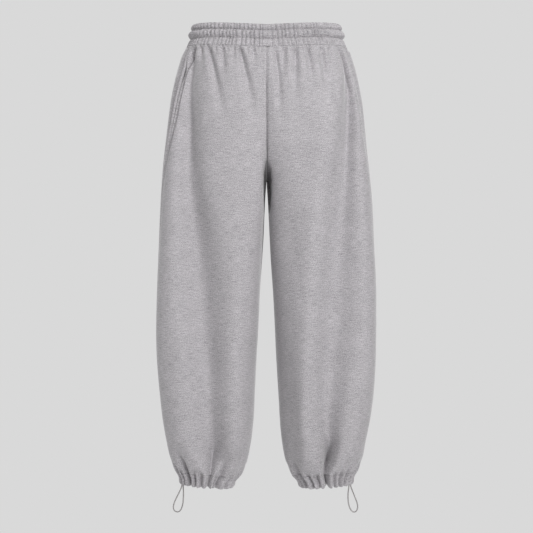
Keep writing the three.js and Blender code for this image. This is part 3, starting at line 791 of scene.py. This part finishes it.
def seam_relief(grid, leg, face):
    """The cloth sinks into its seams, ripples in under the waistband and is nowhere quite even. At the
    centre front the wearer's right panel lies on top of the left one's edge."""
    x, z = grid["x"], grid["z"]
    dip = -SEAM_DIP * bump(np.minimum(grid["from_start"], grid["from_end"]), SEAM_DIP_WIDTH)
    centre = ease((z - CROTCH) / CENTRE_FROM) * (1 if face == "front" else 0)
    if leg == "right":
        lift = CENTRE_LIFT * bump(grid["from_start"] - CENTRE_WIDTH, CENTRE_WIDTH / 2)
    else:
        lift = -CENTRE_DIP * bump(grid["from_start"], CENTRE_WIDTH)
    down = BAND_BOTTOM - z
    turn = PANEL_TURNS[face] + PANEL_TURNS[leg]
    free = free_of_seams(grid)
    swell = swell_at(x, z, turn) * ease(down / SWELL_FADE) * ease((z - CASING_TOP) / SWELL_FADE)
    relief = dip * (1 - centre * (grid["from_start"] < SEAM_FADE)) + centre * lift
    relief = relief + (ripples_at(x, down, turn) + swell) * free
    return relief + side_crease_at(leg, face, grid["from_end"], z)


# Waistband


def waist_ring(z, count):
    """A whole ring round the waist, anticlockwise from the centre front, and its length."""
    front, back = (
        along_section(face, z, angle_at(section_at(face, z), 0), 0, WAIST_SAMPLES)
        for face in ("front", "back")
    )
    x = np.concatenate([front["x"], back["x"][-2::-1], -back["x"][1:], -front["x"][-2::-1]])
    y = np.concatenate([front["y"], back["y"][-2::-1], back["y"][1:], front["y"][-2::-1]])
    length = np.concatenate([[0], np.cumsum(np.hypot(np.diff(x), np.diff(y)))])
    wanted = np.arange(count) / count * length[-1]
    return with_level(np.interp(wanted, length, x), np.interp(wanted, length, y), z), length[-1]


def band_pleats(count):
    """For each of the band's rows and columns, 0 on a pleat's crest and about -1 in a groove."""
    rng = np.random.default_rng(PLEAT_SEED)
    share = np.arange(count) / count
    rows = []
    pitch = 1 + PLEAT_PITCH_VARIES * rng.uniform(-1, 1, BAND_PLEATS)
    for _ in BAND_ROW_STEPS:
        moved = pitch + PLEAT_MOVES * rng.uniform(-1, 1, BAND_PLEATS)
        edges = np.concatenate([[0], np.cumsum(moved)]) / moved.sum()
        k = np.clip(np.searchsorted(edges, share, side="right") - 1, 0, BAND_PLEATS - 1)
        inside = (share - edges[k]) / (edges[k + 1] - edges[k])
        strength = rng.uniform(*PLEAT_STRENGTHS, BAND_PLEATS)[k]
        lean = PLEAT_LEANS * rng.uniform(-1, 1, BAND_PLEATS)[k]
        crest = np.sin(math.pi * clamp01(inside + lean * np.sin(math.pi * inside))) ** PLEAT_SHARPNESS
        rows.append((crest - 1) * strength)
    return np.array(rows)


def band_profile():
    """The band's outside from the top down: height, stand, place among the rows and pleat depth."""
    profile = []
    for row, steps in enumerate(BAND_ROW_STEPS):
        top, low = BAND_SEAMS[row], BAND_SEAMS[row + 1]
        for step in range(steps):
            v = step / steps
            belly = math.sin(math.pi * v) ** BELLY_POWER if v else 0
            seam = BAND_SEAM_STANDS[row] * (1 - v) + BAND_SEAM_STANDS[row + 1] * v
            stand = seam + (BAND_PUFFS[row] - seam) * belly
            depth = BAND_SEAM_PLEAT + (BAND_PLEAT_DEPTHS[row] - BAND_SEAM_PLEAT) * belly
            profile.append((top + (low - top) * v, stand, row + v, depth))
    last = len(BAND_ROW_STEPS)
    return profile + [(BAND_BOTTOM, BAND_SEAM_STANDS[last], last, BAND_SEAM_PLEAT)]


def blended_pleats(pleats, place):
    """The pleats at a place among the rows. Near a seam they pass into those of the next row."""
    row = int(min(len(pleats) - 1, place))
    inside = place - row
    for distance, other in ((inside, row - 1), (1 - inside, row + 1)):
        if distance < PLEAT_BLEND and 0 <= other < len(pleats):
            share = 0.5 + 0.5 * distance / PLEAT_BLEND
            return pleats[row] * share + pleats[other] * (1 - share)
    return pleats[row]


def waistband(material):
    count = BAND_PLEATS * BAND_COLUMNS_PER_PLEAT
    pleats = band_pleats(count)
    profile = band_profile()
    rings, u, v_rows = [], [], []

    def add_ring(z, stand, pleat):
        ring, out, whole = placed_ring(lambda height: waist_ring(height, count), z)
        flat = ease((FLAT_PATCH[0] - np.abs(ring[:, 0])) / FLAT_PATCH[1]) * (ring[:, 1] < 0)
        rings.append(ring + out * (stand + pleat * (1 - FLATTENED * flat))[:, None])
        u.append(np.linspace(0, whole, count + 1))
        v_rows.append(np.full(count, z))

    for z, stand, place, depth in profile:
        add_ring(z, stand, depth * blended_pleats(pleats, place))
    for z, sunk in BAND_INSIDE:
        add_ring(z, -sunk, BAND_INSIDE_PLEAT * pleats[1])
    around = np.array(rings)
    piece = ring_mesh("gathered_waistband", around, np.array(u), np.array(v_rows), material)
    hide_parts("waistband")
    seams = [i for i, row in enumerate(profile) if row[2] in (1, 2)]
    threads = [((around[i] + np.roll(around[i], -1, axis=0)) / 2)[::THREAD_EVERY] for i in seams]
    return piece, longest(around, 1), longest(around, 0) / 2, threads


# Hem casings


def hem_halves(z, count):
    """A hem's front from its inner side to its outer one, and its back on from there."""
    half = count // 2
    return along_section("front", z, math.pi, 0, half + 1), along_section("back", z, 0, math.pi, half + 1)


def hem_ring(z, count):
    """A whole ring round a hem, for the side of +X, from its inside past the front, and its length."""
    front, back = hem_halves(z, count)
    x, y = (np.concatenate([front[k][:-1], back[k][:-1]]) for k in ("x", "y"))
    return with_level(x, y, z), front["whole"] + back["whole"]


def hem_casing(leg, material):
    count = HEM_COLUMNS
    outside = np.linspace(CASING_STANDS[0][0], CASING_STANDS[-1][0], CASING_ROWS)
    profile = [(z, float(smooth(CASING_STANDS, 1, z))) for z in outside]
    profile += [(z, -sunk) for z, sunk in CASING_INSIDE]
    rings, u, v_rows = [], [], []
    for z, stand in profile:
        ring, out, whole = placed_ring(lambda height: hem_ring(height, count), z)
        angles = np.concatenate([half["angle"][:-1] for half in hem_halves(z, count)])
        pinch = pinches_at(leg, angles, CASING_TOP)
        ring = ring + out * stand + level_direction(out) * pinch[:, None]
        ring[:, 2] -= HEM_SCALLOP * pinch * clamp01((CASING_TOP - z) / (CASING_TOP - CASING_BOTTOM))
        rings.append(ring)
        u.append(np.linspace(0, whole, count + 1))
        v_rows.append(np.full(count, z))
    rings, u, v_rows = np.array(rings), np.array(u), np.array(v_rows)
    if hand_of(leg) < 0:
        rings = rings[:, ::-1] * (-1, 1, 1)
    piece = ring_mesh("gathered_hem_" + leg, rings, u, v_rows, material)
    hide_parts("hem_casing_" + leg)
    return piece, longest(rings, 1), longest(rings, 0) / 2


# Cords


def smooth_line(points, steps):
    """A smooth line through points, with so many steps from each to the next."""
    padded = np.concatenate([2 * points[:1] - points[1:2], points, 2 * points[-1:] - points[-2:-1]])
    line = []
    for i in range(1, len(padded) - 2):
        p0, p1, p2, p3 = padded[i - 1:i + 3]
        for t in np.linspace(0, 1, steps, endpoint=False):
            line.append(0.5 * (2 * p1 + (p2 - p0) * t + (2 * p0 - 5 * p1 + 4 * p2 - p3) * t**2
                               + (3 * p1 - p0 - 3 * p2 + p3) * t**3))
    return np.array(line + [points[-1]])


def hem_cord(leg, material):
    """The elastic cord's loop as a tube round its route."""
    path = smooth_line(np.array(CORD_ROUTES[leg]) * (hand_of(leg), 1, 1), CORD_STEPS_PER_POINT)
    tangent = unit(np.gradient(path, axis=0))
    side = unit(np.cross(tangent, (0, 1, 0)))
    other = np.cross(tangent, side)
    turn = np.arange(CORD_SIDES) / CORD_SIDES * 2 * math.pi
    ring = np.cos(turn)[None, :, None] * side[:, None] + np.sin(turn)[None, :, None] * other[:, None]
    points = path[:, None] + ring * CORD_DIAMETER / 2
    rows = len(path)
    length = np.concatenate([[0], np.cumsum(np.linalg.norm(np.diff(path, axis=0), axis=1))])
    faces, uvs = [], []
    wide = CORD_DIAMETER * math.pi / CORD_SIDES
    for i in range(rows - 1):
        here, after = i * CORD_SIDES, (i + 1) * CORD_SIDES
        for j in range(CORD_SIDES):
            k = (j + 1) % CORD_SIDES
            faces.append([here + j, here + k, after + k, after + j])
            uvs += [(j * wide, length[i]), ((j + 1) * wide, length[i]),
                    ((j + 1) * wide, length[i + 1]), (j * wide, length[i + 1])]
    for row, order in ((0, -1), (rows - 1, 1)):
        cap = [row * CORD_SIDES + j for j in range(CORD_SIDES)][::order]
        faces.append(cap)
        uvs += [(0, length[row])] * CORD_SIDES
    piece = build_mesh("elastic_loop_" + leg, points.reshape(-1, 3), faces, uvs, material, "cord")
    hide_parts("hem_cord_" + leg)
    return piece


# Materials

FLEECE_STREAKS = {  # how often they repeat in a metre across and down, detail and place
    "marl": (66, 640, 2.0, 3.7),
    "grain": (560, 760, 1.0, 11.3),
    "cloud": (14, 30, 2.0, 23.9),
    "nap": (700, 1100, 3.0, 31.0),
}
STREAK_ROUGHNESS = 0.6
GRAIN_SHARE = 0.66
CLOUD_SHARE = 0.07
CLOUD_MIDDLE = 0.035
FLEECE_COLOURS = ((0.34, (0.2, 0.192, 0.202, 1)), (0.66, (0.65, 0.625, 0.65, 1)))  # each with its place
CORD_COLOURS = ((0, (0.26, 0.245, 0.245, 1)), (1, (0.42, 0.4, 0.4, 1)))
THREAD_COLOURS = ((0, (0.3, 0.29, 0.3, 1)), (1, (0.44, 0.425, 0.44, 1)))
CORD_BRAID_ANGLE = 38  # degrees


def colour_ramp(tree, value, shader, colours):
    """The shader's colour, between two colours by a value."""
    ramp = tree.nodes.new("ShaderNodeValToRGB")
    for element, (place, colour) in zip(ramp.color_ramp.elements, colours):
        element.position = place
        element.color = colour
    tree.links.new(value, ramp.inputs["Fac"])
    tree.links.new(ramp.outputs["Color"], shader.inputs["Base Color"])


def fine_relief(tree, height, shader, strength, distance):
    relief = node(tree, "ShaderNodeBump", Strength=strength, Distance=distance)
    tree.links.new(height, relief.inputs["Height"])
    tree.links.new(relief.outputs["Normal"], shader.inputs["Normal"])


def new_material(name, looks):
    """A new material, its nodes and its shader with some of its inputs filled in."""
    material = bpy.data.materials.new(name)
    material.use_nodes = True
    shader = material.node_tree.nodes["Principled BSDF"]
    for socket, value in looks.items():
        shader.inputs[socket].default_value = value
    return material, material.node_tree, shader


def heather_fleece():
    """Grey marl: short light and dark streaks across the cloth, a grainy nap and a soft sheen."""
    material, tree, shader = new_material("heather_fleece", {
        "Roughness": 0.92, "Specular IOR Level": 0.12, "Sheen Weight": 0.65, "Sheen Roughness": 0.4,
    })
    link = tree.links.new
    uv = node(tree, "ShaderNodeUVMap", uv_map="cloth")

    def streaks(name):
        across, down, detail, place = FLEECE_STREAKS[name]
        stretch = node(tree, "ShaderNodeMapping", Scale=(across, down, 1), Location=(place, place * 2, 0))
        noise = node(tree, "ShaderNodeTexNoise", Scale=1.0, Detail=detail, Roughness=STREAK_ROUGHNESS)
        link(uv.outputs["UV"], stretch.inputs["Vector"])
        link(stretch.outputs["Vector"], noise.inputs["Vector"])
        return noise.outputs["Fac"]

    marl = streaks("marl")
    mix = node(tree, "ShaderNodeMix", data_type="FLOAT")
    mix.inputs[0].default_value = GRAIN_SHARE
    link(marl, mix.inputs[2])
    link(streaks("grain"), mix.inputs[3])
    shift = node(tree, "ShaderNodeMath", operation="MULTIPLY_ADD")
    shift.inputs[1].default_value = CLOUD_SHARE
    link(streaks("cloud"), shift.inputs[0])
    link(mix.outputs[0], shift.inputs[2])
    lower = node(tree, "ShaderNodeMath", operation="SUBTRACT")
    lower.inputs[1].default_value = CLOUD_MIDDLE
    link(shift.outputs[0], lower.inputs[0])
    colour_ramp(tree, lower.outputs[0], shader, FLEECE_COLOURS)
    height = node(tree, "ShaderNodeMath", operation="ADD")
    link(streaks("nap"), height.inputs[0])
    link(marl, height.inputs[1])
    fine_relief(tree, height.outputs[0], shader, strength=0.35, distance=0.0006)
    return material


def elastic_cord():
    """Braided grey elastic: fine threads that run slanting along the cord."""
    material, tree, shader = new_material("elastic_cord", {"Roughness": 0.6, "Specular IOR Level": 0.3})
    link = tree.links.new
    uv = node(tree, "ShaderNodeUVMap", uv_map="cord")
    turned = node(tree, "ShaderNodeMapping", Rotation=(0, 0, math.radians(CORD_BRAID_ANGLE)))
    link(uv.outputs["UV"], turned.inputs["Vector"])
    braid = node(tree, "ShaderNodeTexWave", Scale=420.0, Distortion=0.6)
    link(turned.outputs["Vector"], braid.inputs["Vector"])
    colour_ramp(tree, braid.outputs["Fac"], shader, CORD_COLOURS)
    fine_relief(tree, braid.outputs["Fac"], shader, strength=0.4, distance=0.0002)
    return material


def finish_piece(piece):
    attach(piece, "root")


# Stitches

STITCH_PITCH = 0.0032
STITCH_LENGTH = 0.0026
STITCH_WIDTH = 0.0008


def sewing_thread():
    """Grey polyester thread with a fine twist."""
    material, tree, shader = new_material("sewing_thread", {"Roughness": 0.55})
    place = node(tree, "ShaderNodeTexCoord")
    twist = node(tree, "ShaderNodeTexWave", Scale=900.0, Distortion=1.5)
    tree.links.new(place.outputs["Object"], twist.inputs["Vector"])
    colour_ramp(tree, twist.outputs["Fac"], shader, THREAD_COLOURS)
    fine_relief(tree, twist.outputs["Fac"], shader, strength=0.3, distance=0.0001)
    return material


def stitch_tree(material):
    """Geometry nodes that lay stitches along a line: inputs are their pitch, length and width."""
    tree = bpy.data.node_groups.new("stitches_along_line", "GeometryNodeTree")
    tree.interface.new_socket("Line", in_out="INPUT", socket_type="NodeSocketGeometry")
    for name in ("Pitch", "Length", "Width"):
        tree.interface.new_socket(name, in_out="INPUT", socket_type="NodeSocketFloat")
    tree.interface.new_socket("Stitches", in_out="OUTPUT", socket_type="NodeSocketGeometry")
    given, made = tree.nodes.new("NodeGroupInput"), tree.nodes.new("NodeGroupOutput")
    curve = tree.nodes.new("GeometryNodeMeshToCurve")
    points = node(tree, "GeometryNodeCurveToPoints", mode="LENGTH")
    stitch = node(tree, "GeometryNodeMeshUVSphere", Segments=8, Rings=6, Radius=0.5)
    size = tree.nodes.new("ShaderNodeCombineXYZ")
    copies = tree.nodes.new("GeometryNodeInstanceOnPoints")
    real = tree.nodes.new("GeometryNodeRealizeInstances")
    cover = node(tree, "GeometryNodeSetMaterial", Material=material)
    for source, output, target, socket in (
        (given, "Line", curve, "Mesh"), (curve, "Curve", points, "Curve"),
        (given, "Pitch", points, "Length"), (given, "Width", size, "X"), (given, "Width", size, "Y"),
        (given, "Length", size, "Z"), (points, "Points", copies, "Points"),
        (points, "Rotation", copies, "Rotation"), (stitch, "Mesh", copies, "Instance"),
        (size, "Vector", copies, "Scale"), (copies, "Instances", real, "Geometry"),
        (real, "Geometry", cover, "Geometry"), (cover, "Geometry", made, "Stitches"),
    ):
        tree.links.new(source.outputs[output], target.inputs[socket])
    return tree


def stitch_line(name, lines, tree, replaced):
    """Stitches along closed lines of points, as one plain mesh."""
    mesh = bpy.data.meshes.new(name + "_line")
    edges, start = [], 0
    for line in lines:
        edges += [(start + i, start + (i + 1) % len(line)) for i in range(len(line))]
        start += len(line)
    mesh.from_pydata((np.concatenate(lines) * MM).tolist(), edges, [])
    guide = put(name + "_line", mesh)
    modifier = guide.modifiers.new("stitches", "NODES")
    modifier.node_group = tree
    sizes = {"Pitch": STITCH_PITCH, "Length": STITCH_LENGTH, "Width": STITCH_WIDTH}
    for socket in tree.interface.items_tree:
        if socket.name in sizes:
            modifier[socket.identifier] = sizes[socket.name]
    laid = guide.evaluated_get(bpy.context.evaluated_depsgraph_get())
    made = bpy.data.meshes.new_from_object(laid)
    bpy.data.objects.remove(guide)
    made.name = name
    piece = put(name, made)
    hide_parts(replaced)
    finish_piece(piece)
    return piece


bpy.context.scene.view_settings.view_transform = "Standard"
place_camera()
cord_cover = elastic_cord()
for leg in ("right", "left"):
    finish_piece(hem_cord(leg, cord_cover))
light_studio()
lay_floor()

fleece = heather_fleece()
stitches = stitch_tree(sewing_thread())
band, band_length, band_height, groove_lines = waistband(fleece)
finish_piece(band)
groove_stitches = stitch_line("band_stitching", groove_lines, stitches, "waistband")
for leg in ("right", "left"):
    for piece, width, length in (
        leg_panel(leg, "front", fleece), leg_panel(leg, "back", fleece), hem_casing(leg, fleece),
    ):
        finish_piece(piece)
